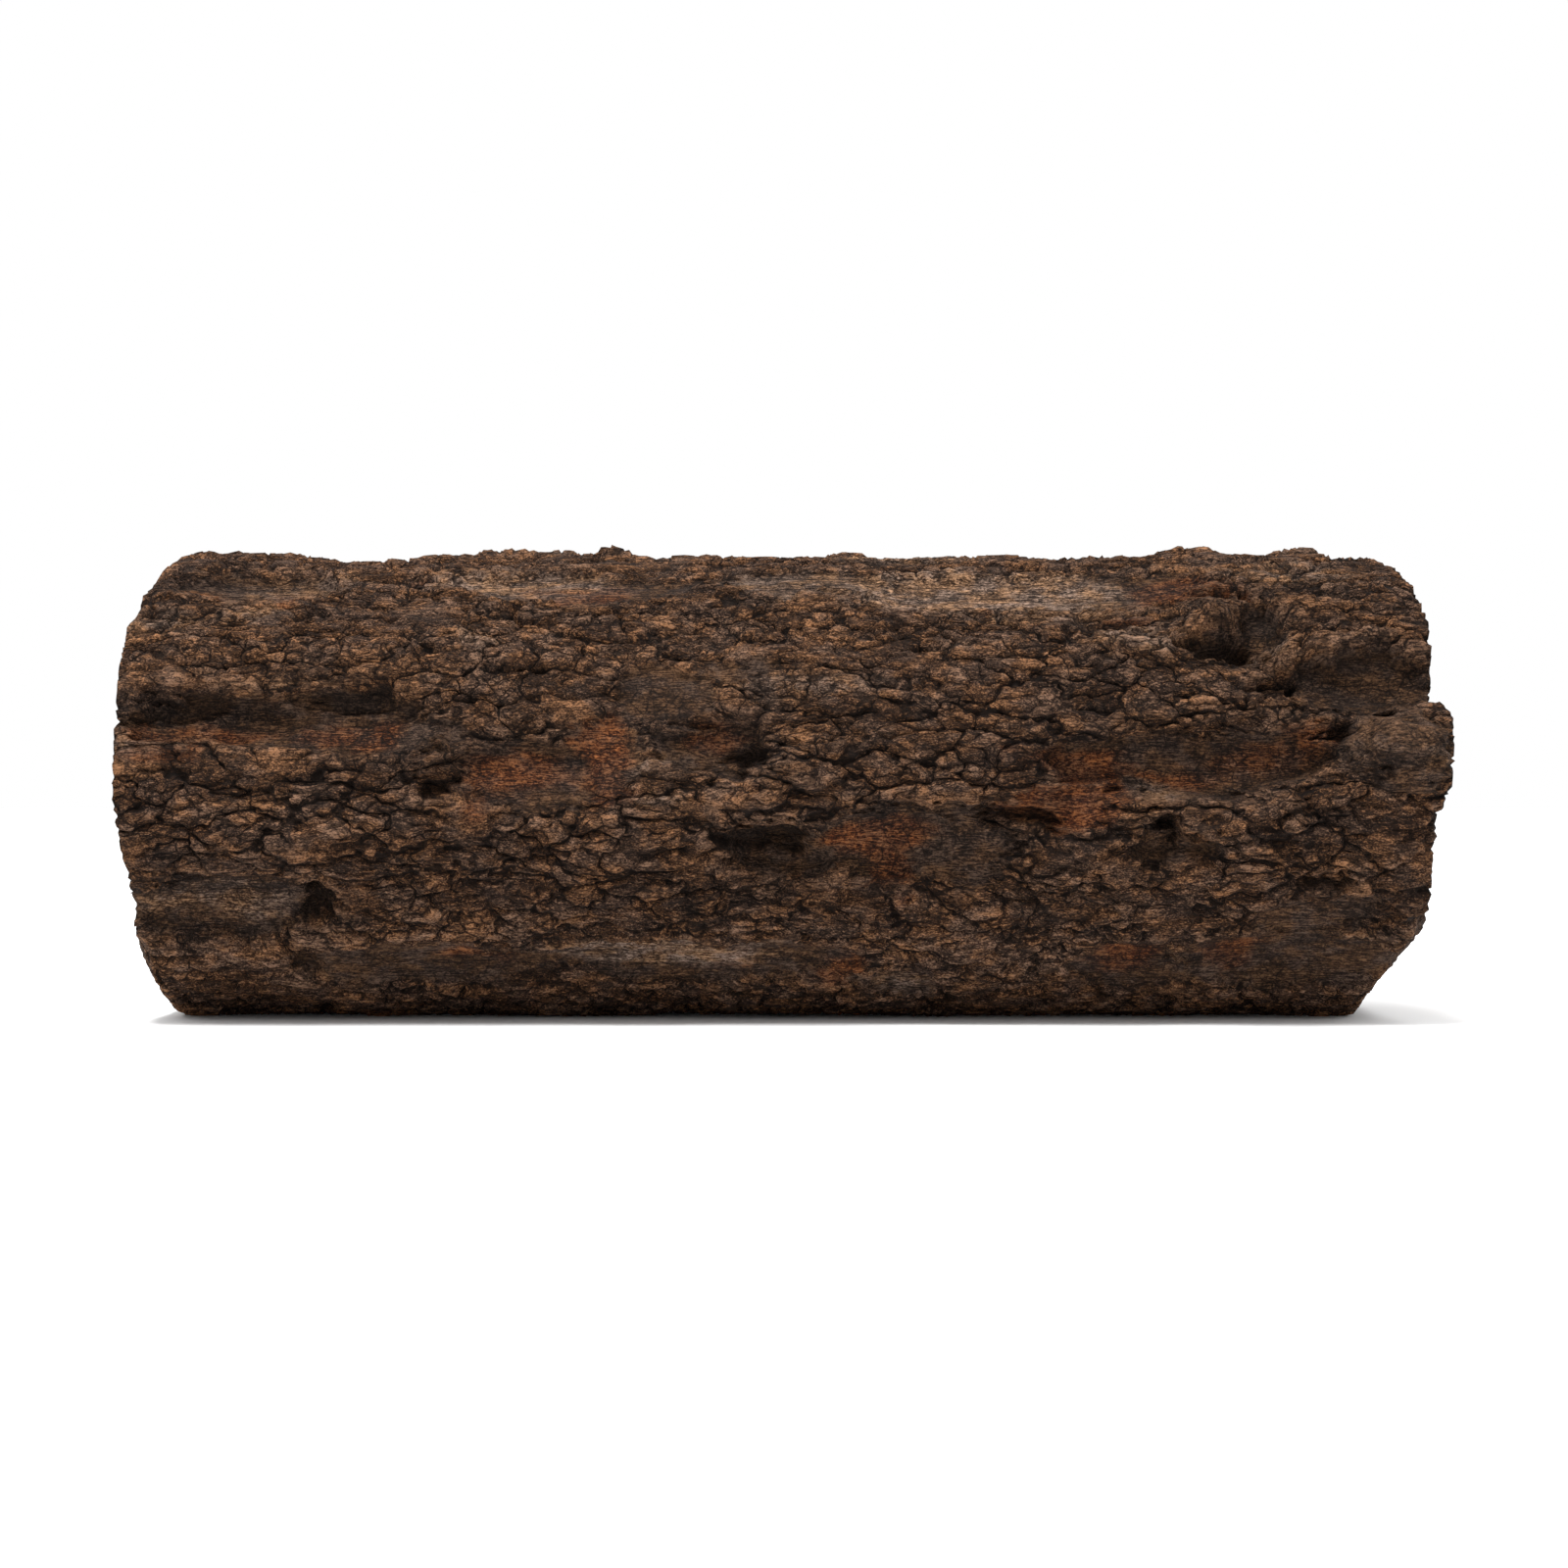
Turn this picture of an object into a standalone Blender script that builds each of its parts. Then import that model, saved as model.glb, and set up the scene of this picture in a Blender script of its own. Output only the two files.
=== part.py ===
"""A natural log with its thick, furrowed bark on, lying on its side along X.

The log is one piece, bark and wood grown together: a trunk turned about its pith, with valleys
where bark has fallen away, ridges and knots where it stands, and two sawn ends. It lies on the
plane z = 0, centred on X and Y. Run it with: blender --background --python part.py
"""

import math
from collections import namedtuple

import bmesh
import bpy
from mathutils import Vector, noise

# Driving dimensions, in metres.
LENGTH = 0.300  # tip to tip, the bark that stands past the saw cuts included
BARK_RADIUS = 0.0545  # from the pith to the ordinary face of the bark
BARK_THICKNESS = 0.0105  # at the sawn ends
LEFT_SAW_CUT = -0.1475  # where the wood was sawn through, along X
RIGHT_SAW_CUT = 0.1435
RESTING_FLAT = 0.0012  # how far the bark's lowest lumps are pressed flat where the log lies

# How finely the bark's face is divided.
STEPS_AROUND = 60
STEPS_ALONG = 46

# A swelling or a dent of the bark. Places and half sizes are in millimetres along the log and in
# degrees round it, from the front (-Y) up over the top. Tilt turns it on the unrolled bark.
Form = namedtuple("Form", "along angle half_length half_angle tilt height")
MM = 0.001

FRONT_VALLEYS = [
    Form(-122, 60, 21, 9, 0, -2.0),  # shallow recess near the left end's top
    Form(-112, 17, 44, 9, 0, -4.2),  # long valley from the left end
    Form(-52, 8, 28, 12, 0, -2.0),
    Form(-126, -31, 28, 12, 0, -4.2),  # scoop near the left end
    Form(-72, -50, 40, 11, 0, -2.2),
    Form(-12, 8, 12, 8, 0, -2.8),
    Form(-2, -17, 14, 9, 0, -5.5),  # pocket under the burl
    Form(29, -14, 24, 12, 0, -3.2),
    Form(90, 5, 42, 10, 0, -5.2),  # great hollow at the right
    Form(62, -7, 16, 8, 0, -2.6),
    Form(88, -14, 12, 8, 0, -4.6),
    Form(130, 28, 24, 10, 0, -4.6),
    Form(106, 40, 9, 11, 0, -5.0),  # bite behind the knob
    Form(56, 57, 44, 10, 0, -1.5),
    Form(-45, 60, 34, 9, 0, -1.2),
    Form(-22, -50, 40, 11, 0, -1.6),
    Form(116, -49, 30, 12, 0, -2.6),
]
FRONT_RIDGES = [
    Form(-125, 38, 28, 11, 0, 1.6),
    Form(-60, 34, 42, 13, 0, 1.1),
    Form(20, 27, 42, 15, 0, 1.3),
    Form(80, 34, 18, 9, 0, 1.6),
    Form(128, 54, 20, 13, 0, 2.2),
    Form(2, 2, 15, 9, 35, 3.6),  # diagonal burl at the middle
    Form(137, 9, 15, 12, 0, 3.2),  # flap at the right end
    Form(104, -10, 20, 6, 12, 2.6),  # lip below the great hollow
    Form(-78, 7, 8, 8, 0, 2.4),  # small knot
    Form(98, 44, 9, 9, 0, 3.4),  # knob
    Form(-90, -12, 52, 10, 0, 1.3),
    Form(45, -36, 38, 9, 0, 1.4),
    Form(130, -20, 18, 10, 0, 1.6),
]
BACK_VALLEYS = [
    Form(-104, 104, 40, 9, 0, -3.8),
    Form(-18, 98, 30, 8, -4, -3.0),
    Form(72, 108, 44, 10, 3, -4.0),
    Form(-128, 146, 22, 11, 0, -4.2),
    Form(-62, 138, 30, 9, 6, -3.2),
    Form(6, 152, 34, 11, -5, -4.6),
    Form(104, 144, 30, 9, 0, -3.4),
    Form(-92, 184, 44, 9, 0, -4.0),
    Form(44, 190, 26, 9, 8, -3.4),
    Form(124, 196, 26, 11, 0, -4.4),
    Form(-24, 218, 38, 10, -4, -3.8),
    Form(-130, 226, 22, 9, 0, -3.0),
    Form(74, 232, 40, 9, 4, -3.6),
    Form(-74, 252, 34, 8, 0, -2.6),
    Form(16, 250, 26, 7, 0, -2.2),
]
BACK_RIDGES = [
    Form(-60, 120, 44, 9, 4, 1.5),
    Form(30, 124, 36, 9, -6, 1.7),
    Form(126, 122, 22, 9, 0, 1.6),
    Form(-108, 166, 34, 8, 0, 1.4),
    Form(-30, 174, 30, 9, 10, 2.0),
    Form(70, 168, 36, 8, 0, 1.5),
    Form(84, 212, 30, 8, -5, 1.7),
    Form(-88, 212, 40, 9, 5, 1.5),
    Form(34, 232, 20, 8, 12, 1.8),
    Form(128, 250, 22, 9, 0, 1.4),
]
FORMS = FRONT_VALLEYS + FRONT_RIDGES + BACK_VALLEYS + BACK_RIDGES

# How far the bark's edge stands past its saw cut, in millimetres, at these degrees round the log.
LEFT_EDGE = [(-90, -3.6), (-60, -3.0), (-30, -0.6), (0, 2.5), (30, 2.4), (55, -1.6), (80, -2.6),
             (130, 0.6), (175, -1.4), (220, 0.8)]
RIGHT_EDGE = [(-85, -9.5), (-62, -9.0), (-48, -4.4), (-30, 0.4), (-8, 2.0), (-2, 5.6), (18, 6.5),
              (26, 1.6), (60, 0.4), (90, -2.4), (135, 1.4), (180, -1.6), (225, 1.0), (250, -3.0)]


def turned_apart(angle, other):
    """The angle from other to angle, in degrees, the short way round."""
    return (angle - other + 180) % 360 - 180


def fade(distance):
    """1 at a form's middle, easing to 0 at its edge."""
    inside = max(0.0, 1.0 - distance * distance)
    return inside * inside * (3 - 2 * inside)


def bark_radius(along, angle):
    """From the pith to the bark's face, at a place along the log and degrees round it."""
    mm_per_degree = math.radians(BARK_RADIUS / MM)
    radius = BARK_RADIUS
    for form in FORMS:
        sideways = along / MM - form.along
        upwards = turned_apart(angle, form.angle) * mm_per_degree
        cos, sin = math.cos(math.radians(form.tilt)), math.sin(math.radians(form.tilt))
        lengthwise = (sideways * cos + upwards * sin) / form.half_length
        crosswise = (upwards * cos - sideways * sin) / (form.half_angle * mm_per_degree)
        radius += form.height * MM * fade(math.hypot(lengthwise, crosswise))
    return radius + lumps(along, angle)


def lumps(along, angle):
    """The bark's own unevenness: lumps drawn out along the log."""
    turn = math.radians(angle)
    place = Vector((along / 0.045, 2.6 * math.cos(turn), 2.6 * math.sin(turn)))
    return 0.0016 * noise.noise(place) + 0.0009 * noise.noise(place * 2.3)


def between(points, angle):
    """A value read at an angle from (degrees, value) points that run once round the log."""
    ring = points + [(points[0][0] + 360, points[0][1])]
    angle = (angle - ring[0][0]) % 360 + ring[0][0]
    for (start, low), (end, high) in zip(ring, ring[1:]):
        if angle <= end:
            share = (angle - start) / (end - start)
            return low + (high - low) * share * share * (3 - 2 * share)
    return ring[-1][1]


def log_profile():
    """The line from the left sawn face's edge, along the bark, to the right one's, at rest."""
    wood = 1 - BARK_THICKNESS / BARK_RADIUS
    along = [step / STEPS_ALONG for step in range(STEPS_ALONG + 1)]
    return [(0.0, wood)] + [(share, 1.0) for share in along] + [(1.0, wood)]


def log_mesh():
    """The trunk spun about its pith, each ring then moved out to the bark's face."""
    shape = bmesh.new()
    line = [shape.verts.new((share, -reach, 0)) for share, reach in log_profile()]
    edges = [shape.edges.new(pair) for pair in zip(line, line[1:])]
    bmesh.ops.spin(shape, geom=line + edges, cent=(0, 0, 0), axis=(1, 0, 0),
                   angle=-math.tau, steps=STEPS_AROUND, use_merge=True)
    bmesh.ops.holes_fill(shape, edges=shape.edges, sides=STEPS_AROUND)
    for vertex in shape.verts:
        share, y, z = vertex.co
        angle = math.degrees(math.atan2(z, -y))
        on_face = math.hypot(y, z) < 0.99
        left = LEFT_SAW_CUT if on_face else LEFT_SAW_CUT - between(LEFT_EDGE, angle) * MM
        right = RIGHT_SAW_CUT if on_face else RIGHT_SAW_CUT + between(RIGHT_EDGE, angle) * MM
        along = left + (right - left) * share
        reach = math.hypot(y, z) * bark_radius(along, angle)
        turn = math.radians(angle)
        vertex.co = (along, -reach * math.cos(turn), reach * math.sin(turn))
    bmesh.ops.recalc_face_normals(shape, faces=shape.faces)
    mesh = bpy.data.meshes.new("wood_log")
    shape.to_mesh(mesh)
    shape.free()
    return mesh


def lay_down(mesh):
    """Moves the log to lie on z = 0, centred on X and Y, its lowest lumps pressed flat."""
    places = [vertex.co for vertex in mesh.vertices]
    low = Vector([min(place[axis] for place in places) for axis in range(3)])
    high = Vector([max(place[axis] for place in places) for axis in range(3)])
    centre = (low + high) / 2
    for place in places:
        place.x = (place.x - centre.x) * LENGTH / (high.x - low.x)
        place.y -= centre.y
        place.z = max(0.0, place.z - low.z - RESTING_FLAT)


def bark_material():
    """Dry, weathered bark: dark brown and rough."""
    material = bpy.data.materials.new("bark")
    material.use_nodes = True
    shader = material.node_tree.nodes["Principled BSDF"]
    shader.inputs["Base Color"].default_value = (0.095, 0.052, 0.034, 1)
    shader.inputs["Roughness"].default_value = 0.9
    shader.inputs["Metallic"].default_value = 0.0
    return material


def wood_log():
    mesh = log_mesh()
    lay_down(mesh)
    mesh.shade_smooth()
    mesh.set_sharp_from_angle(angle=math.radians(40))
    log = bpy.data.objects.new("wood_log", mesh)
    log.data.materials.append(bark_material())
    bpy.context.scene.collection.objects.link(log)
    return log


def clear_scene():
    for thing in list(bpy.data.objects):
        bpy.data.objects.remove(thing)


clear_scene()
wood_log()
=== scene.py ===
"""A natural log with its thick, furrowed bark on, lying on its side under soft studio light."""

import math

import bmesh
import bpy
import numpy as np
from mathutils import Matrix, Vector
from mathutils.bvhtree import BVHTree


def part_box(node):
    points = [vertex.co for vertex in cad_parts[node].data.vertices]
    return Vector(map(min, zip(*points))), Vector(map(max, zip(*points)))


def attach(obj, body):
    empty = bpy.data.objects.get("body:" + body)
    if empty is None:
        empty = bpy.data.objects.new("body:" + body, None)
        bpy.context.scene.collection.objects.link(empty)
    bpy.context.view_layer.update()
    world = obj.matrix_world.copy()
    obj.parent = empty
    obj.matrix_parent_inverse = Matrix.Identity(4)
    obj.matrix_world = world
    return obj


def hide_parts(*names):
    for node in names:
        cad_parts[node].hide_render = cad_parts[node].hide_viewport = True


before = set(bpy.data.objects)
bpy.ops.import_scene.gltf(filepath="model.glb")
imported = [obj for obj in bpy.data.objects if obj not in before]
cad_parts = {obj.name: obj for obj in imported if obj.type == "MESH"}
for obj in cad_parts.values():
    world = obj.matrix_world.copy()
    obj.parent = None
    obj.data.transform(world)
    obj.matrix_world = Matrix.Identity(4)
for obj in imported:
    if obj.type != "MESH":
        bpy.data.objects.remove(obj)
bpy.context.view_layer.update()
scene = bpy.context.scene
MM = 0.001


# ---------------------------------------------------------------- the log's broad shape
# The log is one piece, the wood and the bark that grew on it. Its broad shape is the frame's own
# solid: each place on the bark is found by looking in at the solid from outside, square to the
# pith, and the two ends lie where that solid was sawn through. All in millimetres from here on.
PLAIN_REACH = 54.5  # from the pith to the plain face of the bark
WOOD_SHARE = 0.807  # of that reach is wood, as at the solid's sawn ends
LOOK_FROM = 90.0  # from the pith, well clear of the bark
LOOKS_ALONG = 240
LOOKS_AROUND = 240
INSIDE_EDGE = 0.8  # how far in from the bark's end the first look is taken
PITH_ZONE = 15.0  # a sawn face's middle, clear of its bark

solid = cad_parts["wood_log"].data
corners = np.array([vertex.co for vertex in solid.vertices]) / MM
pith_y, pith_z = corners[:, 1].mean(), corners[:, 2].mean()
seen = BVHTree.FromPolygons([Vector(corner) for corner in corners],
                            [tuple(face.vertices) for face in solid.polygons])
log_low, log_high = (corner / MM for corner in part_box("wood_log"))


def reach_at(along, turn):
    """How far the solid reaches from the pith at a place along it, or 0 past its end."""
    out = Vector((0, -math.cos(turn), math.sin(turn)))
    start = Vector((along, pith_y, pith_z)) + out * LOOK_FROM
    hit = seen.ray_cast(start, -out)[0]
    return math.hypot(hit.y - pith_y, hit.z - pith_z) if hit else 0.0


def end_of_bark(turn, first, step):
    """Where the bark begins, going in from one end of the log."""
    along = first
    while reach_at(along, turn) < WOOD_SHARE * PLAIN_REACH:
        along += step
    return along


def softened(field, along, around):
    """The field blurred by so many of its steps along the log and around it."""
    mirrored = np.concatenate([field, field[::-1]])
    rate_along = np.fft.fftfreq(mirrored.shape[0])[:, None]
    rate_around = np.fft.fftfreq(mirrored.shape[1])[None, :]
    kept = np.exp(-2 * (math.pi * rate_along * along) ** 2
                  - 2 * (math.pi * rate_around * around) ** 2)
    return np.fft.ifft2(np.fft.fft2(mirrored) * kept).real[:len(field)]


look_turns = np.arange(LOOKS_AROUND) * math.tau / LOOKS_AROUND
left_end = np.array([end_of_bark(turn, log_low.x, 0.2) for turn in look_turns])
right_end = np.array([end_of_bark(turn, log_high.x, -0.2) for turn in look_turns])
broad = np.empty((LOOKS_ALONG, LOOKS_AROUND))
for column, turn in enumerate(look_turns):
    span = np.linspace(left_end[column] + INSIDE_EDGE, right_end[column] - INSIDE_EDGE, LOOKS_ALONG)
    broad[:, column] = [reach_at(along, turn) for along in span]
broad = softened(broad, 1.6, 1.6)
sawn = [face.center.x / MM for face in solid.polygons
        if math.hypot(face.center.y / MM - pith_y, face.center.z / MM - pith_z) < PITH_ZONE]
left_cut, right_cut = min(sawn), max(sawn)


# ---------------------------------------------------------------- the log's skin
# One closed skin over bark and sawn ends: a fine sheet wrapped once round the pith, its two short
# sides drawn together at the middle of each sawn end and its two long sides joined under the log.
AROUND = 860
SIDE_ROWS = 660
END_ROWS = 90

rows = SIDE_ROWS + 2 * END_ROWS
opening = np.linspace(0, 1, END_ROWS, endpoint=False)
reach = np.concatenate([opening, np.ones(SIDE_ROWS), opening[::-1]])[:, None]
share = np.concatenate([np.zeros(END_ROWS), np.linspace(0, 1, SIDE_ROWS), np.ones(END_ROWS)])[:, None]
turn = -np.linspace(0, math.tau, AROUND + 1)[None, :] - math.pi / 2
angle = np.degrees(turn)

sheet = bmesh.new()
bmesh.ops.create_grid(sheet, x_segments=AROUND, y_segments=rows - 1, size=1.0)
skin = bpy.data.meshes.new("log_skin")
sheet.to_mesh(skin)
sheet.free()


def read_ring(ring, at):
    """Values given all round the log, read at these turns."""
    place = (at / math.tau % 1) * len(ring)
    first = np.floor(place).astype(int)
    part = place - first
    return ring[first % len(ring)] * (1 - part) + ring[(first + 1) % len(ring)] * part


def read_broad(at_share, at_turn):
    """The broad shape's reach, read between the looks."""
    row = np.clip(at_share * (LOOKS_ALONG - 1), 0, LOOKS_ALONG - 1.001)
    column = (at_turn / math.tau % 1) * LOOKS_AROUND
    row, column = np.broadcast_arrays(row, column)
    top, side = np.floor(row).astype(int), np.floor(column).astype(int)
    down, over = row - top, column - side
    near, far = side % LOOKS_AROUND, (side + 1) % LOOKS_AROUND
    return ((broad[top, near] * (1 - over) + broad[top, far] * over) * (1 - down)
            + (broad[top + 1, near] * (1 - over) + broad[top + 1, far] * over) * down)


def eased(low, high, value):
    """0 below low, 1 above high, easing in between."""
    part = np.clip((value - low) / (high - low), 0, 1)
    return part * part * (3 - 2 * part)


ring_left, ring_right = read_ring(left_end, turn), read_ring(right_end, turn)
out_of_wood = eased(WOOD_SHARE, 1.0, reach)
at_left = left_cut + (ring_left - left_cut) * out_of_wood
at_right = right_cut + (ring_right - right_cut) * out_of_wood
along = at_left + (at_right - at_left) * share
plain = read_broad(share, turn)
rest = np.stack([along, -PLAIN_REACH * reach * np.cos(turn), PLAIN_REACH * reach * np.sin(turn)], -1)


def put(name, kind, values):
    """Keeps values at the skin's points, for the patterns and the materials to read."""
    layer = skin.attributes.get(name) or skin.attributes.new(name, kind, "POINT")
    flat = np.ascontiguousarray(values, np.float32).ravel()
    layer.data.foreach_set("vector" if kind == "FLOAT_VECTOR" else "value", flat)


put("rest", "FLOAT_VECTOR", rest)


# ---------------------------------------------------------------- how bark cracks and crumbles
# The bark is cork that split as the trunk swelled: long plates, split again into small blocks,
# every face of them crumbling. One network of patterns gives the relief its shape and the bark's
# finish its colours, so that the painted shade of a crack lies where the crack is deep.
class Pattern:
    """Builds pattern nodes, in a shader's tree and in a geometry tree alike."""

    def __init__(self, tree):
        self.tree = tree

    def node(self, kind, inputs, **settings):
        made = self.tree.nodes.new(kind)
        for name, value in settings.items():
            setattr(made, name, value)
        for socket, value in inputs.items():
            if isinstance(value, bpy.types.NodeSocket):
                self.tree.links.new(value, made.inputs[socket])
            else:
                made.inputs[socket].default_value = value
        return made

    def math(self, operation, first, second=0.0, third=0.0, clamp=False):
        return self.node("ShaderNodeMath", {0: first, 1: second, 2: third}, operation=operation,
                         use_clamp=clamp).outputs[0]

    def product(self, *factors):
        total = factors[0]
        for factor in factors[1:]:
            total = self.math("MULTIPLY", total, factor)
        return total

    def largest(self, *values):
        most = values[0]
        for value in values[1:]:
            most = self.math("MAXIMUM", most, value)
        return most

    def swung(self, base, value, amount):
        """The base raised or lowered as the value is above or below a half."""
        return self.math("MULTIPLY_ADD", self.math("SUBTRACT", value, 0.5), amount, base)

    def vector(self, operation, first, second):
        return self.node("ShaderNodeVectorMath", {0: first, 1: second},
                         operation=operation).outputs[0]

    def times(self, vector, amount):
        return self.node("ShaderNodeVectorMath", {0: vector, "Scale": amount},
                         operation="SCALE").outputs[0]

    def noise(self, place, size, detail=2.0, roughness=0.5, distortion=0.0, colour=False):
        at = self.vector("DIVIDE", place, size)
        made = self.node("ShaderNodeTexNoise", {"Vector": at, "Scale": 1.0, "Detail": detail,
                                                "Roughness": roughness, "Distortion": distortion})
        return made.outputs["Color" if colour else "Fac"]

    def drift(self, place, size, amount, detail=2.0):
        """The place moved about by a noise, by up to about half the amount."""
        swing = self.vector("SUBTRACT", self.noise(place, size, detail, colour=True), (0.5, 0.5, 0.5))
        return self.vector("ADD", place, self.vector("MULTIPLY", swing, amount))

    def cells(self, place, size):
        """How far in from a cell's border a place is, in its own units, and the cell's level."""
        at = {"Vector": self.vector("DIVIDE", place, size), "Scale": 1.0}
        own = self.node("ShaderNodeTexVoronoi", at, feature="F1").outputs
        beside = self.node("ShaderNodeTexVoronoi", at, feature="F2").outputs
        apart = self.vector("DIVIDE", self.vector("SUBTRACT", beside["Position"], own["Position"]), size)
        slope = self.node("ShaderNodeVectorMath", {0: apart}, operation="LENGTH").outputs["Value"]
        squares = self.math("SUBTRACT", self.product(beside["Distance"], beside["Distance"]),
                            self.product(own["Distance"], own["Distance"]))
        within = self.math("DIVIDE", squares, self.math("MULTIPLY", slope, 2.0))
        return within, self.noise(own["Position"], (0.7, 0.7, 0.7), 0.0)

    def ramp(self, value, stops):
        made = self.node("ShaderNodeValToRGB", {0: value})
        while len(made.color_ramp.elements) < len(stops):
            made.color_ramp.elements.new(0.5)
        for element, (position, colour) in zip(made.color_ramp.elements, stops):
            element.position = position
            element.color = (*colour, 1)
        return made.outputs[0]

    def blend(self, amount, under, over, kind="MIX"):
        return self.node("ShaderNodeMix", {0: amount, 6: under, 7: over}, data_type="RGBA",
                         blend_type=kind).outputs[2]

    def kept(self, name, output="Fac"):
        return self.node("ShaderNodeAttribute", {}, attribute_name=name).outputs[output]

    def weighed(self, *terms):
        """The sum of values, each less its middle and times its weight, about a half."""
        total = 0.5
        for value, middle, weight in terms:
            total = self.math("MULTIPLY_ADD", self.math("SUBTRACT", value, middle), weight, total)
        return total

    def ease(self, value, low, high, start=0.0, end=1.0):
        return self.node("ShaderNodeMapRange", {"Value": value, "From Min": low, "From Max": high,
                                                "To Min": start, "To Max": end},
                         interpolation_type="SMOOTHSTEP").outputs[0]


PLATE = (15.0, 6.6, 6.6)  # how long and wide a plate is, in mm along the log and across it
BLOCK = (6.0, 3.2, 3.2)  # and a block


def bark_pattern(p, place):
    """How far a place is from the splits round its plate and its block, and how the bark crumbles."""
    moved = p.drift(place, (13.0, 8.0, 8.0), (18.0, 10.0, 10.0), 3.0)
    shaken = p.drift(moved, (2.6, 1.6, 1.6), (2.2, 1.5, 1.5), 3.0)
    plate, level = p.cells(shaken, PLATE)
    block, block_level = p.cells(shaken, BLOCK)
    return {
        "plate": plate, "level": level, "block": block, "block_level": block_level,
        "split": p.noise(place, (16.0, 11.0, 11.0), 2.0),
        "crumble": p.noise(p.drift(place, (4.0, 2.4, 2.4), (4.0, 2.6, 2.6)), (5.0, 1.6, 1.6), 5.0, 0.66),
        "hump": p.noise(p.drift(place, (9.0, 5.0, 5.0), (8.0, 5.0, 5.0)), (18.0, 7.5, 7.5), 3.0, 0.5),
        "swell": p.noise(place, (30.0, 14.0, 14.0), 2.0),
        "streak": p.noise(place, (34.0, 2.6, 2.6), 3.0),
    }


def sample_patterns():
    """The patterns' values at the skin's points, by name."""
    tree = bpy.data.node_groups.new("bark_sampling", "GeometryNodeTree")
    tree.interface.new_socket("Geometry", in_out="INPUT", socket_type="NodeSocketGeometry")
    tree.interface.new_socket("Geometry", in_out="OUTPUT", socket_type="NodeSocketGeometry")
    p = Pattern(tree)
    place = p.node("GeometryNodeInputNamedAttribute", {"Name": "rest"},
                   data_type="FLOAT_VECTOR").outputs[0]
    elsewhere = p.vector("ADD", place, (310.0, 70.0, 0.0))
    values = bark_pattern(p, place)
    values["fray"] = p.noise(place, (13.0, 8.0, 8.0), 5.0, 0.62)
    values["fray_across"] = p.noise(elsewhere, (16.0, 6.0, 6.0), 5.0, 0.62)
    geometry = tree.nodes.new("NodeGroupInput").outputs[0]
    for name, value in values.items():
        stored = {"Geometry": geometry, "Name": name, "Value": value}
        geometry = p.node("GeometryNodeStoreNamedAttribute", stored, data_type="FLOAT").outputs[0]
    p.node("NodeGroupOutput", {0: geometry})
    sampler = bpy.data.objects.new("bark_sampling", skin)
    scene.collection.objects.link(sampler)
    sampler.modifiers.new("patterns", "NODES").node_group = tree
    evaluated = sampler.evaluated_get(bpy.context.evaluated_depsgraph_get()).data
    found = {}
    for name in values:
        flat = np.empty(len(skin.vertices), np.float32)
        evaluated.attributes[name].data.foreach_get("value", flat)
        found[name] = flat.reshape(rows, AROUND + 1).astype(float)
    bpy.data.objects.remove(sampler)
    bpy.data.node_groups.remove(tree)
    return found


pattern = sample_patterns()


# ---------------------------------------------------------------- worn, pitted and raised bark
# Where the outer bark came away, a smooth, finely lined floor shows, with splits and hollows beside
# it and knots and burls above it. All are oval patches on the unrolled bark, each with its place
# along the log (mm), its angle from the front up over the top (degrees), its half length (mm), its
# half angle and its tilt (degrees), and how much. The front's are given one by one.
MM_PER_DEGREE = math.radians(PLAIN_REACH)

# Worn floors, by how many mm they lie low.
WORN = [
    (-122, 60, 19, 8.5, 0, 1.8), (-128, 17, 22, 6.5, -2, 2.6), (-98, 19, 16, 6, 0, 2.2),
    (-100, 12, 30, 4, 0, 0.8), (-57, 3, 14, 9, 0, 1.3), (-40, 8, 9, 10, 0, 0.6),
    (-27, 22, 12, 8, 0, 0.6), (-15, 9, 14, 7, 0, 1.8), (-126, -31, 24, 10, 0, 2),
    (-80, -49, 32, 8, 0, 0.6), (0, -16, 13, 6.5, 0, 2.8), (24, -14, 14, 11, 0, 1.6),
    (42, -14, 10, 10, 0, 1.2), (92, 6, 36, 8, 0, 2.8), (64, -6, 12, 6, 0, 0.8),
    (86, -14, 7, 6, 0, 2.8), (95, -15, 6, 2.5, 0, 1.5), (130, 27, 17, 9, 0, 2.8),
    (100, 36, 9, 4, -5, 3), (108, 44, 4, 9, 0, 3), (57, 58, 40, 9, 0, 0.5), (8, 61, 20, 7, 0, 0.4),
    (-48, 59, 30, 8, 0, 0.5), (-20, -48, 34, 8, 0, 0.5), (28, -55, 10, 5, 0, 0.4),
    (78, -50, 14, 9, 0, 0.6), (115, -48, 26, 11, 0, 0.8), (122, -33, 18, 5, 0, 1),
    (-8, 29, 7, 2.5, 0, 0.4), (137, 9, 14, 11, 0, -0.7), (122, -24, 6, 2.5, 0, 0.8),
    (-98, 88, 13, 10, 0, 1.6), (-33, 89, 9, 8, 0, 1.6), (-9, 91, 7, 9, 0, 2.4),
    (72, 88, 17, 9, 0, 1.4), (137, 88, 9, 8, 0, 1.8),
]
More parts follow.
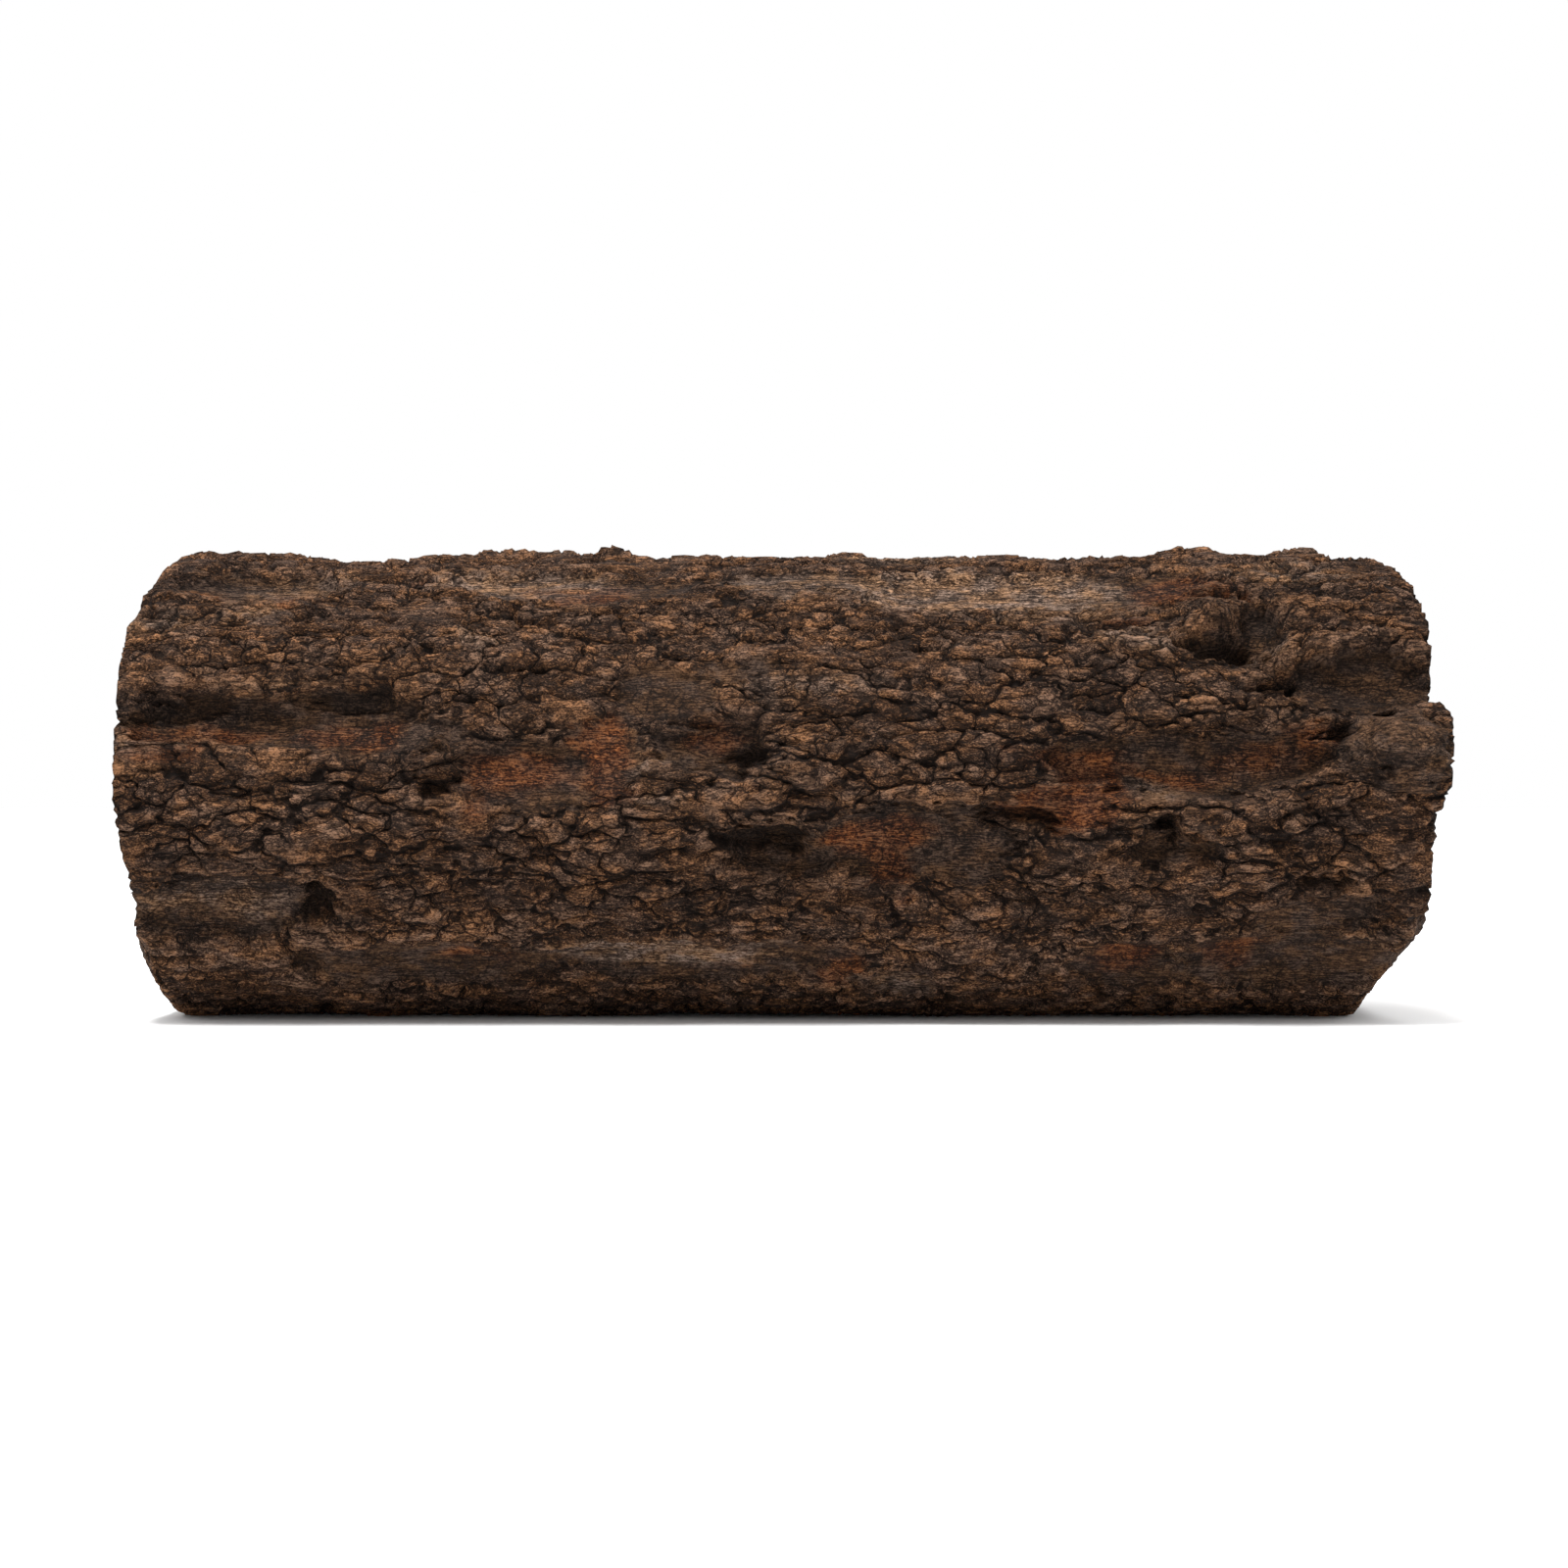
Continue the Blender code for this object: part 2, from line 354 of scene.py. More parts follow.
# Pits and open splits, by how many mm they go in.
PITS = [
    (-60, 44.5, 9, 2, -20, 3.4), (-40, 45, 5, 1.4, 0, 2.8), (28, 35, 7, 1.5, -5, 3.2),
    (-25, 39, 1.2, 2.2, 0, 2), (99.5, 53.5, 4.8, 2.8, 8, 8), (103, 37, 10, 3.4, -14, 3.2),
    (64, 49, 4.5, 1.5, -5, 2.2), (-106, -30, 6, 5.5, -40, 5), (-109, -50, 4, 5, 0, 2.6),
    (-5, -13, 11, 4.5, 0, 3.8), (53, -7.5, 8, 3.2, -15, 4.5), (51, -15, 1.5, 4, 0, 2),
    (87, -9, 7, 3.2, -8, 5), (96, 34, 4, 2.5, -20, 2), (-6, 6, 6, 3, 0, 3), (-97, 23, 14, 3, 0, 2),
    (-136, 21, 15, 4, 4, 2), (111, 26, 5, 4.5, 0, 3.6), (122, -23, 7, 2.6, 0, 3.6),
    (73, -37, 3.5, 1.5, 20, 1.5), (137, -36, 7, 2, -15, 3.2), (140, 5.5, 7, 1.2, -4, 1.4),
    (131, 9, 1.1, 7, -12, 1.5), (-80, 8, 2.5, 2.5, 0, 2), (-76, 2, 5, 2.4, 0, 3.2),
    (123, 13.5, 5, 2.4, -15, 3.6), (94, 15.5, 16, 2.2, 6, 2.6),
]
# Knots, lips and burls, by how many mm they rise.
RAISED = [
    (98.5, 43, 6.5, 5.5, 20, 3), (94, -10, 6, 2.2, -25, 2.8), (103, -11, 6, 2.2, 5, 2.8),
    (113, -8, 8, 2.4, 20, 2.8), (3, 3, 16, 6, 32, 2.4), (-139, 89, 9, 7, 0, 1.4),
    (-68, 90, 9, 6, 0, 1.6), (-55, 88, 6, 5, 0, 1), (14, 90, 7, 5, 0, 1), (97, 88, 9, 7, 0, 1.5),
    (121, 90, 7, 6, 0, 1.6), (-77, 7, 5, 5, 0, 3), (-108, -15, 5.5, 5, 0, 1.2),
    (110, 18, 10, 2.5, -5, 1.8), (138, 10, 11, 9.5, 0, 2.5), (-30, -24, 12, 2, 5, 1.2),
    (80, 35, 14, 4, 0, 1.2), (112, 34, 7, 2.5, 15, 2), (125, 37, 12, 2.2, 10, 1.5),
    (120, 48, 12, 2.2, -25, 1.2), (110, -31, 7, 2.5, 8, 1.5), (141, -31, 4, 5, 0, 1.5),
    (-71, 36, 3, 2.2, 0, 1), (131, -39.5, 12, 1.2, -3, 1.2),
]
# Patches of rust-red cork, by how strong their colour is.
RUSTY = [
    (-131, 55, 6, 3, -25, 0.8), (-113, 56, 4, 6, 0, 0.7), (-84, 61, 3, 2, 0, 0.8),
    (-142, 14, 3.5, 4, 0, 0.7), (-138, 8, 6, 2, 0, 0.7), (-128, 13, 12, 3, 0, 0.8),
    (-101, 12, 8, 2, 0, 0.8), (-92, 13, 4, 3, 0, 0.8), (-62, 2, 11, 5, 0, 0.8),
    (-67, -6, 3, 3, 0, 0.8), (-41, 10, 6, 8, 0, 1), (-40, -1, 6, 4, 0, 0.7),
    (-17, 12, 5, 3, 0, 0.8), (-72, -46, 3, 3.5, 0, 1), (-65, -46, 2, 4, 0, 1),
    (23, -13, 10, 7, 0, 1), (25, -22, 7, 5, 0, 0.8), (67, 6, 13, 4, 0, 1), (66, -4, 13, 8, 0, 1),
    (90, 3, 12, 3, 0, 0.9), (110, 7, 14, 4, 0, 0.6), (118, 12, 5, 3, 0, 0.8),
    (55, -6, 5, 3, 0, 0.7), (33, 56, 2.5, 4, 0, 0.8), (39, 57, 2, 4, 0, 0.8),
    (42, 57, 1, 4, 0, 0.9), (47, 56, 1.8, 4.5, 0, 0.9), (45, 49, 2.5, 3, 0, 0.6),
    (92, 56, 11, 6, 0, 0.7), (78, 44, 5, 1.5, 0, 0.6), (-46, 56, 9, 5, 0, 0.7),
    (-57, 57, 4, 3, 0, 0.7), (12.5, -51, 3, 4.5, 0, 1), (76, -48, 6, 6, 0, 0.8),
    (82, -47, 3, 4, 0, 0.9), (104, -47, 5, 6, 0, 0.7), (99.5, 53.5, 4.8, 2.6, 8, 0.8),
    (-10, -48, 3, 3, 0, 0.6),
]
# Patches bleached grey-tan, by how strong their colour is.
PALE = [
    (44, 58, 36, 11, 0, 1.2), (8, 60, 22, 8, 0, 0.7), (60, 48, 22, 5, 0, 0.5),
    (-62, 62, 24, 8, 0, 0.7), (-110, 62, 16, 7, 0, 0.4), (118, 64, 16, 8, 0, 0.5),
    (-30, -46, 24, 6, 0, 1.1), (28, -56, 8, 4, 0, 0.8), (-128, -30, 18, 7, 0, 0.5),
    (-145, 11, 6, 1.5, 0, 1), (-134, 12, 3, 1.2, 0, 1), (-29.5, 5, 3, 1, 0, 1.2),
    (86, -1, 7, 1.5, 0, 1.2), (108, 5, 12, 0.8, 2, 1), (-140, -27, 10, 0.5, 0, 1),
    (80, 37, 13, 4, 0, 0.7), (-110, 26, 8, 1.5, 0, 0.8), (-27, -2, 5, 2.5, 0, 0.8),
    (-71, 36, 3, 2, 0, 1), (141, 8, 7, 0.8, -4, 0.9), (-140, 44, 10, 4, 0, 0.6),
    (-120, 45, 10, 3, 0, 0.6), (131, -39.5, 11, 1, -3, 1), (120, 62, 12, 6, 0, 0.4),
    (5, 24, 20, 4, 0, 0.4), (112, 36, 6, 2, 15, 0.5),
]

STREWN_ALONG = (-142, 138)  # mm
STREWN_ROUND = (82, 288)  # degrees, from the top over the back to the underside
STREWN_TILT = 7  # degrees, the spread of their tilts


def strew(on_front, count, half_length, half_angle, amount, seed):
    """The front's patches and so many more, strewn over the side that the front's don't reach."""
    draw = np.random.default_rng(seed)
    strewn = [(draw.uniform(*STREWN_ALONG), draw.uniform(*STREWN_ROUND), draw.uniform(*half_length),
               draw.uniform(*half_angle), draw.normal(0, STREWN_TILT), draw.uniform(*amount))
              for _ in range(count)]
    return on_front + strewn


all_worn = strew(WORN, 34, (9, 34), (4, 10), (0.5, 2.2), 3)
all_pits = strew(PITS, 30, (2, 10), (1.2, 3.2), (1.5, 3.2), 5)
all_raised = strew(RAISED, 22, (4, 14), (2, 6), (1.0, 2.4), 7)
all_rusty = strew(RUSTY, 44, (2, 12), (2, 6), (0.5, 1.0), 11)
all_pale = strew(PALE, 26, (3, 22), (1, 6), (0.4, 1.0), 13)

# How far the bark's fraying moves and roughens the patches' edges.
FRAY_ALONG = 26.0  # mm
FRAY_AROUND = 16.0  # degrees
EDGE_ROUGHNESS = 4.0  # mm

along_frayed = along + (pattern["fray"] - 0.5) * FRAY_ALONG
angle_frayed = angle + (pattern["fray_across"] - 0.5) * FRAY_AROUND
rough_edge = (pattern["crumble"] - 0.5) * EDGE_ROUGHNESS + (pattern["hump"] - 0.5) * EDGE_ROUGHNESS


def inside(patch):
    """How far inside an oval patch each place lies, in mm: below 0 outside it."""
    middle, middle_angle, half_length, half_angle, tilt = patch[:5]
    half_width = half_angle * MM_PER_DEGREE
    lengthwise = along_frayed - middle
    crosswise = ((angle_frayed - middle_angle + 180) % 360 - 180) * MM_PER_DEGREE
    cos, sin = math.cos(math.radians(tilt)), math.sin(math.radians(tilt))
    off = np.hypot((lengthwise * cos + crosswise * sin) / half_length,
                   (crosswise * cos - lengthwise * sin) / half_width)
    return (1 - off) * min(half_length, half_width) + rough_edge


def strongest(patches, start, full):
    """The strongest of the patches at each place, each one rising from start to full mm inside."""
    most = np.zeros_like(along_frayed)
    for patch in patches:
        most = np.maximum(most, patch[5] * eased(start, full, inside(patch)))
    return most


def piled(patches):
    """The patches' heights added up, each one a rounded lump."""
    total = np.zeros_like(along_frayed)
    for patch in patches:
        slope = 0.75 * min(patch[2], patch[3] * MM_PER_DEGREE)
        total += patch[5] * eased(0.0, slope, inside(patch))
    return total


FLAP = (138, 9, 12, 10.5, 0)  # the tongue of smooth bark that stands past the right end

on_side = np.broadcast_to(reach, along.shape) == 1
worn_floor = strongest([patch[:5] + (1.0,) for patch in all_worn], -0.5, 0.7)
worn_depth = strongest(all_worn, -0.5, 1.2)
flap = eased(-0.4, 1.2, inside(FLAP))
valley = eased(1.9, 3.0, PLAIN_REACH - plain + (pattern["swell"] - 0.5) * 3)
worn = np.maximum(worn_floor, valley)
pit_depth = strongest(all_pits, -0.5, 1.6) * (0.55 + 0.9 * pattern["crumble"])
rise = piled(all_raised)
rusty = strongest(all_rusty, -0.8, 0.8)
pale = strongest(all_pale, -1.2, 2.2) * (0.5 + 0.6 * eased(0.36, 0.52, pattern["streak"]))


# ---------------------------------------------------------------- the bark's relief
# Outer bark stands proud in domed plates with deep splits between them, and weathers back in thin
# yearly layers. Worn floors lie lower and ripple along the grain. All heights are in mm.
SWELL = 2.4  # the bark's rise and fall over a few plates
HUMP = 1.7  # and over about one
PLATE_LEVEL = 0.8  # how far plates stand above one another
BLOCK_LEVEL = 0.6  # and blocks
CRUMBLE = 1.3  # the roughness of their faces
PLATE_SPLIT = (1.3, 0.42)  # depth and half width
BLOCK_SPLIT = (0.7, 0.34)
FLAKE = 0.85  # the thickness of one year's layer of cork
FLAP_RISE = 2.0  # how far the flap stands above the floor round it


def crack(distance, half_width):
    """1 in the middle of a crack, falling to 0 beyond its half width."""
    return np.exp(-(distance / half_width) ** 2)


open_split = eased(0.28, 0.48, pattern["split"])
dome = 1 - (1 - np.clip(pattern["plate"] / 0.8, 0, 1)) ** 2
small_dome = 1 - (1 - np.clip(pattern["block"] / 0.5, 0, 1)) ** 2
swell = (pattern["swell"] - 0.5) * SWELL
hump = (pattern["hump"] - 0.5) * HUMP
level = (pattern["level"] - 0.5) * PLATE_LEVEL
block_level = (pattern["block_level"] - 0.5) * BLOCK_LEVEL
plates = 0.4 + swell + hump + level * dome + 0.15 * dome + (0.12 + block_level) * small_dome
layer = (plates + plain - PLAIN_REACH) / FLAKE + (pattern["streak"] - 0.5) * 3
stair = (np.floor(layer) + eased(0.05, 0.45, layer - np.floor(layer)) - layer) * FLAKE
outer = (plates + 0.5 * stair * (1 - eased(0.2, 1.0, rise)) + (pattern["crumble"] - 0.5) * CRUMBLE
         - PLATE_SPLIT[0] * crack(pattern["plate"], PLATE_SPLIT[1]) * (0.25 + 0.75 * open_split)
         - BLOCK_SPLIT[0] * crack(pattern["block"], BLOCK_SPLIT[1]) * open_split)
floor = (-0.4 - worn_depth + swell * 0.3 + hump * 0.22 + (pattern["streak"] - 0.5) * 1.3
         + (pattern["crumble"] - 0.5) * 0.7)
height = outer * (1 - worn) + floor * worn + rise - pit_depth + FLAP_RISE * flap * worn
grown = plates * (1 - worn) + (swell * 0.3 + hump * 0.22 - worn_depth) * worn + rise


# ---------------------------------------------------------------- the two ends
# The trunk was sawn through at each end. The wood is cut flat and has dried and checked along its
# rays; the bark round it is brittle, so it broke off unevenly and its outer edge is chipped.
EDGE_CHIPPED = 3.2  # mm in from the end
RAGGED = 3.4  # mm that the edge wanders along the log
PULL_FADES = 5.0  # mm in from the end over which that wandering dies away
STANDING_FADES = 8.0
# Stretches of the edge that stand out: which end (-1 is the left), the angle of the stretch's
# middle and its half width (degrees), and how far (mm).
STANDS_OUT = [(-1, 45, 34, 2.0), (-1, -60, 25, 1.0), (1, 45, 34, 2.8), (1, -42, 34, 2.4)]
# Checks in the sawn wood: angle (degrees), where each begins and ends as a share of the way out,
# and how wide it opens (mm). The left end's are turned round from the right end's.
CHECKS = [(-66, 0.0, 0.84, 2.4), (17, 0.28, 0.62, 1.1), (83, 0.10, 0.80, 1.7),
          (128, 0.42, 0.83, 1.3), (171, 0.05, 0.50, 1.2), (222, 0.36, 0.82, 1.9),
          (262, 0.5, 0.8, 0.9)]
CHECKS_TURNED = 41
CHECK_WANDER = 22  # degrees that a check strays from its ray
CHECK_DEPTH = 5.0
WOOD_EDGE_SMOOTHED = 16.0  # mm round the log

span = (at_right - at_left) * np.ones_like(share)
to_end = np.minimum(share * span, (1 - share) * span)
chip = (1 - eased(0.0, EDGE_CHIPPED, to_end)) * (0.5 + 2.6 * np.clip(pattern["fray"] - 0.38, 0, 1))
reach_now = plain + height - chip * on_side

bark_end = eased(WOOD_SHARE - 0.02, WOOD_SHARE + 0.03, reach)
ragged = (pattern["fray"] - 0.5) * RAGGED + (pattern["crumble"] - 0.5) * 0.6
pull = np.where(on_side, np.exp(-to_end / PULL_FADES), eased(WOOD_SHARE, 1.0, reach)) * ragged
outward = np.where(share < 0.5, -1.0, 1.0)
standing = np.zeros_like(along_frayed)
for end, middle, half, amount in STANDS_OUT:
    aside = np.abs((angle - middle + 180) % 360 - 180)
    standing += amount * (1 - eased(0.0, 1.0, aside / half)) * (outward == end)
standing *= np.where(on_side, np.exp(-to_end / STANDING_FADES), out_of_wood)

check_depth = np.zeros_like(along_frayed)
for check_angle, check_from, check_to, check_width in CHECKS:
    wander = (pattern["swell"] - 0.5) * CHECK_WANDER
    aside = (angle + wander - check_angle - CHECKS_TURNED * (outward < 0) + 180) % 360 - 180
    across = np.abs(np.radians(aside)) * reach * PLAIN_REACH
    taper = eased(check_from, check_from + 0.3, reach) * eased(check_to, check_to - 0.25, reach)
    open_width = np.maximum(0.5 * check_width * taper, 1e-3)
    gap = CHECK_DEPTH * taper * (1 - eased(0.2, 1.0, across / open_width))
    check_depth = np.maximum(check_depth, gap)
end_relief = (-check_depth * (1 - bark_end) - 0.6 * bark_end * crack(pattern["plate"], 0.5)
              + (pattern["crumble"] - 0.5) * (0.25 + 0.8 * bark_end))
x = along + outward * (pull + np.where(on_side, 0.0, end_relief) + standing)

steps = AROUND / (math.tau * PLAIN_REACH)  # of the skin, in one mm round the log
rim_row = np.where(share[:, 0] < 0.5, END_ROWS, END_ROWS + SIDE_ROWS - 1)
wood_rim = softened(plain[:, :AROUND][rim_row], 0.5, WOOD_EDGE_SMOOTHED * steps)
wood_rim = np.concatenate([wood_rim, wood_rim[:, :1]], 1)
in_bark = np.clip((reach - WOOD_SHARE) / (1 - WOOD_SHARE), 0, 1)
end_radius = (np.minimum(reach, WOOD_SHARE) * wood_rim
              + (reach_now[rim_row] - WOOD_SHARE * wood_rim) * in_bark)
radius = np.where(on_side, reach_now, end_radius)
x = np.clip(x, log_low.x, log_high.x)
y = pith_y - radius * np.cos(turn)
z = np.maximum(pith_z + radius * np.sin(turn), 0.0)


# ---------------------------------------------------------------- the finished log
# The skin takes its shape, its long edges are joined, and it is thinned to a fair size. It keeps
# what the finishes need: the worn, rusty and pale places, the hollows and the growth layers.
HOLLOW_NEAR = 1.8  # mm round a place whose mean height tells whether it lies in a hollow
HOLLOW_WIDE = 6.0
HOLLOW_FINE = 0.25  # mm over which the place's own height is taken
LAYERS_SMOOTHED = 1.3  # mm
TRIANGLES = 195000  # enough for the bark's blocks and splits


def softened_mm(field, distance):
    """The field blurred by so many mm, its last column again the same as its first."""
    soft = softened(field[:, :AROUND], distance * steps, distance * steps)
    return np.concatenate([soft, soft[:, :1]], 1)


# How far each place lies below the bark round it, less than 0 on high places. The bark's finish paints
# shade into the hollows and a highlight onto the high places from it.
hollow = (0.7 * softened_mm(height, HOLLOW_NEAR) + 0.3 * softened_mm(height, HOLLOW_WIDE)
          - softened_mm(height, HOLLOW_FINE)) * on_side
x[:, -1], y[:, -1], z[:, -1] = x[:, 0], y[:, 0], z[:, 0]
skin.vertices.foreach_set("co", (np.stack([x, y, z], -1) * MM).astype(np.float32).ravel())
put("worn", "FLOAT", worn)
put("rusty", "FLOAT", rusty)
put("pale", "FLOAT", pale)
put("layers", "FLOAT", softened_mm(grown + plain - PLAIN_REACH, LAYERS_SMOOTHED))
put("hollow", "FLOAT", hollow)
put("check", "FLOAT", check_depth * (1 - bark_end) * ~on_side)
face_row = np.repeat(np.arange(rows - 1), AROUND)
is_sawn = (face_row < END_ROWS) | (face_row >= END_ROWS + SIDE_ROWS - 1)
skin.polygons.foreach_set("material_index", is_sawn.astype(np.int32))

sheet = bmesh.new()
sheet.from_mesh(skin)
edge_points = [vertex for vertex in sheet.verts if vertex.is_boundary]
bmesh.ops.remove_doubles(sheet, verts=edge_points, dist=1e-6)
sheet.to_mesh(skin)
sheet.free()
skin.shade_smooth()
log = bpy.data.objects.new("bark_log", skin)
scene.collection.objects.link(log)
thin = log.modifiers.new("thin", "DECIMATE")
thin.ratio = TRIANGLES / (2 * len(skin.polygons))
thinned = log.evaluated_get(bpy.context.evaluated_depsgraph_get())
finished = bpy.data.meshes.new_from_object(thinned)
log.modifiers.clear()
log.data = finished
for vertex in finished.vertices:
    vertex.co.z = max(0.0, vertex.co.z)
    vertex.co.x = min(max(vertex.co.x, log_low.x * MM), log_high.x * MM)


# ---------------------------------------------------------------- finish of the bark
# Dry cork, brown and dull. Painted shade makes it near black in its splits and hollows, and a
# painted highlight makes it paler on its high places. Worn floors show the growth layers as fine
# lines with short cracks across them, and are rust-red or bleached grey-tan in places.
CHIP = (3.0, 1.25, 1.25)  # the smallest scales that the bark's face breaks into
FLOOR_CELL = (3.2, 3.8, 3.8)  # between the short cracks of a worn floor
# Painted shade laid over the bark in its cracks and hollows, a painted highlight on its high
# places, and tints that it is multiplied by, one of them painted bounce light with dust low down.
PAINTED_CRACK_SHADE = (0.007, 0.0045, 0.0035, 1)
PAINTED_HOLLOW_SHADE = (0.010, 0.006, 0.004, 1)
PAINTED_HIGHLIGHT = (0.27, 0.145, 0.083, 1)
COOL, WARM = (0.86, 0.925, 1.04, 1), (1.12, 1.0, 0.82, 1)
DUST_AND_BOUNCE_LIGHT = (1.5, 1.55, 1.6, 1)
DUST_AND_BOUNCE_HEIGHTS = (30.0, 4.0)  # mm above the ground, where the painted bounce light and dust begin and are whole


def bark_cracks(p, place, grain, chip, line, worn):
    """1 in a crack: round plates, blocks and scales, and across and along worn floors."""
    open_split = p.ease(grain["split"], 0.28, 0.48)
    round_plate = p.product(p.ease(grain["plate"], 0.13, 0.4, 1.0, 0.0),
                            p.math("MULTIPLY_ADD", open_split, 0.7, 0.3))
    round_block = p.product(p.ease(grain["block"], 0.08, 0.3, 1.0, 0.0), open_split, 0.85)
    on_outer = p.product(p.largest(round_plate, round_block),
                         p.math("MULTIPLY_ADD", worn, -0.6, 1.0))
    cell = p.cells(p.drift(place, (2.0, 2.0, 2.0), (1.2, 1.2, 1.2), 3.0), FLOOR_CELL)[0]
    on_floor = p.product(p.ease(cell, 0.06, 0.3, 1.0, 0.0),
                         p.ease(grain["hump"], 0.4, 0.56, 1.0, 0.35), worn, 0.85)
    smooth_here = p.math("MAXIMUM", worn, p.kept("rusty"), clamp=True)
    between_layers = p.product(p.ease(line, 0.04, 0.34, 1.0, 0.0),
                               p.ease(grain["crumble"], 0.4, 0.58), smooth_here, 0.6)
    round_chip = p.product(p.ease(chip, 0.03, 0.2, 1.0, 0.0),
                           p.ease(grain["hump"], 0.38, 0.56, 0.75, 0.2), 0.8)
    return p.largest(on_outer, on_floor, between_layers, round_chip)


def bark_finish():
    material = bpy.data.materials.new("weathered_bark")
    material.use_nodes = True
    tree = material.node_tree
    p = Pattern(tree)
    shader = tree.nodes["Principled BSDF"]

    grain = bark_pattern(p, p.kept("rest", "Vector"))
    place = p.times(p.node("ShaderNodeTexCoord", {}).outputs["Object"], 1 / MM)
    fine = p.noise(p.drift(place, (5.0, 2.2, 2.2), (3.0, 1.6, 1.6)), (2.8, 0.5, 0.5), 4.0, 0.7)
    grit = p.noise(place, (0.95, 0.5, 0.5), 3.0, 0.7)
    speck = p.noise(place, (0.55, 0.3, 0.3), 3.0, 0.7)
    tint = p.noise(place, (24.0, 13.0, 13.0), 3.0, 0.55)
    band = p.noise(p.drift(place, (6.0, 4.0, 4.0), (5.0, 3.0, 3.0)), (3.0, 11.0, 11.0), 3.0, 0.6)
    chipped = p.drift(place, (4.0, 2.0, 2.0), (4.0, 2.2, 2.2))
    chipped = p.drift(chipped, (0.9, 0.6, 0.6), (0.8, 0.5, 0.5))
    chip, chip_level = p.cells(chipped, CHIP)
    worn = p.ease(p.swung(p.kept("worn"), fine, 1.2), 0.3, 0.7)

    layers = p.math("DIVIDE", p.kept("layers"), FLAKE)
    line = p.swung(p.swung(layers, grain["streak"], 11.0), grain["crumble"], 2.0)
    line = p.math("MULTIPLY_ADD", p.math("SINE", p.math("MULTIPLY", line, math.tau)), 0.5, 0.5)
    flake = p.swung(p.swung(layers, grain["streak"], 6.0), grain["crumble"], 3.0)
    flake = p.math("MULTIPLY_ADD", p.math("MINIMUM", grain["plate"], 3.0), 0.9, flake)
    flake = p.math("FRACT", flake)
    crack_here = bark_cracks(p, place, grain, chip, line, worn)

    outer_shade = p.weighed(
        (grain["crumble"], 0.5, 0.3), (fine, 0.5, 1.3), (flake, 0.5, 0.16),
        (grain["level"], 0.5, 0.28), (grain["block_level"], 0.5, 0.38), (chip_level, 0.5, 0.7),
        (tint, 0.5, 0.3), (speck, 0.5, 2.1))
    worn_shade = p.weighed(
        (line, 0.5, 0.34), (fine, 0.5, 0.5), (grit, 0.5, 1.6), (tint, 0.5, 0.45), (speck, 0.5, 1.5),
        (band, 0.5, 0.7), (grain["hump"], 0.5, 0.3), (grain["crumble"], 0.5, 0.4),
        (chip_level, 0.5, 0.5))
    outer = p.ramp(outer_shade, [(0.2, (0.015, 0.0075, 0.0045)), (0.46, (0.050, 0.0262, 0.0155)),
                                 (0.64, (0.112, 0.0585, 0.034)), (0.88, (0.33, 0.172, 0.095))])
    floor = p.ramp(worn_shade, [(0.15, (0.016, 0.0095, 0.0065)), (0.5, (0.051, 0.0285, 0.0185)),
                                (0.85, (0.15, 0.086, 0.053))])
    rust = p.ramp(worn_shade, [(0.2, (0.018, 0.0062, 0.0034)), (0.5, (0.088, 0.027, 0.0108)),
                               (0.8, (0.26, 0.102, 0.042))])
    bleached = p.ramp(worn_shade, [(0.2, (0.038, 0.023, 0.015)), (0.5, (0.175, 0.104, 0.067)),
                                   (0.8, (0.43, 0.27, 0.178))])
    mottle = p.weighed((fine, 0.5, 0.45), (grit, 0.5, 0.6))
    rusty = p.math("MULTIPLY", p.kept("rusty"), p.ease(mottle, 0.36, 0.5, 0.35, 1.15), clamp=True)
    pale = p.math("MULTIPLY", p.kept("pale"), p.ease(mottle, 0.38, 0.54, 0.2, 1.0), clamp=True)
    colour = p.blend(worn, outer, floor)
    colour = p.blend(rusty, colour, rust)
    colour = p.blend(pale, colour, bleached)

    warmth = p.ease(p.noise(place, (8.0, 5.0, 5.0), 4.0, 0.6), 0.4, 0.6)
    colour = p.blend(warmth, p.blend(1.0, colour, COOL, "MULTIPLY"),
                     p.blend(1.0, colour, WARM, "MULTIPLY"))
    hollow = p.kept("hollow")
    # Painted shade: hollows are darkened by how far they lie below the bark round them.
    colour = p.blend(p.ease(hollow, 0.15, 1.7, 0.0, 0.62), colour, PAINTED_HOLLOW_SHADE)
    # Painted highlight: places standing above the bark round them are made paler.
    painted_highlight = p.product(p.ease(hollow, -0.15, -1.2, 0.0, 0.5), p.ease(fine, 0.42, 0.62))
    colour = p.blend(painted_highlight, colour, PAINTED_HIGHLIGHT)
    # Painted shade: the cracks and splits are darkened to near black.
    colour = p.blend(p.math("MULTIPLY", crack_here, 0.9), colour, PAINTED_CRACK_SHADE)
    # Low on the log the colour is lightened by up to half again: painted light standing in for light
    # bounced up from the floor, and pale dust.
    above_ground = p.node("ShaderNodeSeparateXYZ", {0: place}).outputs[2]
    dust_and_bounce_light = p.ease(above_ground, *DUST_AND_BOUNCE_HEIGHTS, 0.0, 1.0)
    colour = p.blend(dust_and_bounce_light, colour, p.blend(1.0, colour, DUST_AND_BOUNCE_LIGHT, "MULTIPLY"))
    tree.links.new(colour, shader.inputs["Base Color"])
    tree.links.new(p.math("MULTIPLY_ADD", speck, 0.15, 0.82), shader.inputs["Roughness"])
    shader.inputs["Specular IOR Level"].default_value = 0.1

